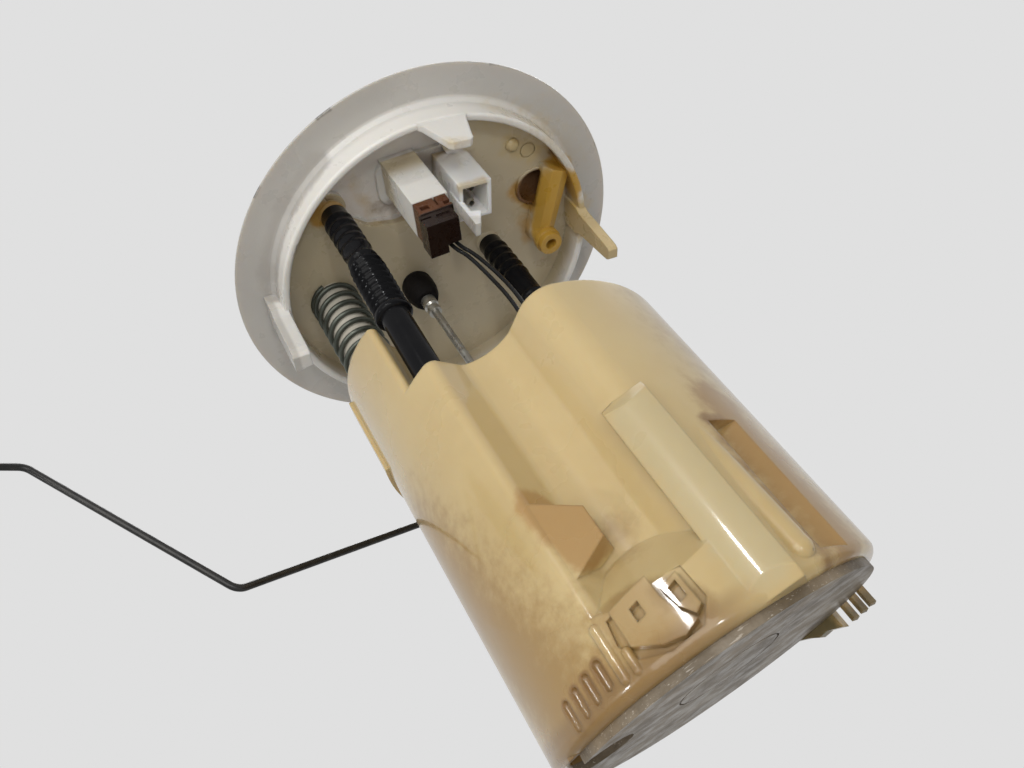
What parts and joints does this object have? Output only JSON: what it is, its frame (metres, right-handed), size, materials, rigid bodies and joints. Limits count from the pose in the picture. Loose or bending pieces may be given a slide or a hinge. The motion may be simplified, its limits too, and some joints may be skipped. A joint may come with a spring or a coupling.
{
  "type": "fuel tank sending unit",
  "caption": "In-tank sender: round flange lid over a spring-loaded swirl pot on guides, with corrugated hoses, plug sockets and a float level arm on a bent wire.",
  "frame": {"origin": "centre of the flange's seat, the plane where the lid rests on the tank", "axes": "+Z out of the tank along the pot's slide, -Y towards the flute in the pot's front, +X to its right"},
  "size_m": [0.2171, 0.187, 0.2066],
  "materials": {
    "milky_plastic": "milky translucent acetal, amber stains inside",
    "amber_plastic": "moulded, glossy, tinted by fuel",
    "plate_grey": "moulded, scratched",
    "brown_plastic": "moulded, satin",
    "hose_black": "glossy black nylon",
    "lead_black": "black insulation",
    "post_grey": "grey green moulding",
    "spring_steel": "dark, oiled",
    "rod_steel": "drawn, satin",
    "bush_rubber": "moulded rubber",
    "tinned_pin": "tinned",
    "pipe_natural": "extruded",
    "strainer_black": "woven mesh look",
    "pump_natural": "moulded",
    "card_white": "fired ceramic",
    "contact_brass": "bare",
    "arm_black": "blackened wire",
    "float_black": "closed cell foam skin"
  },
  "bodies": {
    "lid": {"flange_cover": "milky_plastic", "outer_terminals": "tinned_pin", "socket_pins": "tinned_pin", "plug_housing": "brown_plastic", "sensor_lead_a": "lead_black", "sensor_lead_b": "lead_black", "feed_hose": "hose_black", "return_hose": "hose_black", "guide_post": "post_grey", "post_stop": "spring_steel", "slide_spring": "spring_steel", "rod_bush": "bush_rubber", "rod_ferrule": "rod_steel", "guide_rod": "rod_steel", "rod_stop": "spring_steel"},
    "reservoir": {"reservoir_pot": "amber_plastic", "bottom_plate": "plate_grey", "filling_valve": "bush_rubber", "suction_pipe": "pipe_natural", "suction_strainer": "strainer_black", "return_pipe": "pipe_natural", "jet_pump": "pump_natural", "sensor_housing": "pump_natural", "resistor_card": "card_white"},
    "level_arm": {"arm_holder": "pump_natural", "pivot_washer": "spring_steel", "wiper": "contact_brass", "float_arm": "arm_black", "float_clip": "spring_steel"},
    "level_float": {"float": "float_black"}
  },
  "joints": [
    {"name": "reservoir_slide", "type": "slide", "parent": "lid", "child": "reservoir", "axis": [0, 0, 1], "range_m": [0, 0.022], "stiffness_N_per_m": 300, "springref_m": -0.03, "deforming": ["slide_spring", "feed_hose", "return_hose", "sensor_lead_a", "sensor_lead_b"]},
    {"name": "float_arm", "type": "hinge", "parent": "reservoir", "child": "level_arm", "pos_m": [-0.04122, 0.02955, -0.0674], "axis": [-0.788, 0.6157, 0], "range_deg": [-44, 6]},
    {"name": "float_swivel", "type": "hinge", "parent": "level_arm", "child": "level_float", "pos_m": [-0.1322, -0.09988, -0.0469], "axis": [-0.788, 0.6157, 0], "continuous": true}
  ]
}
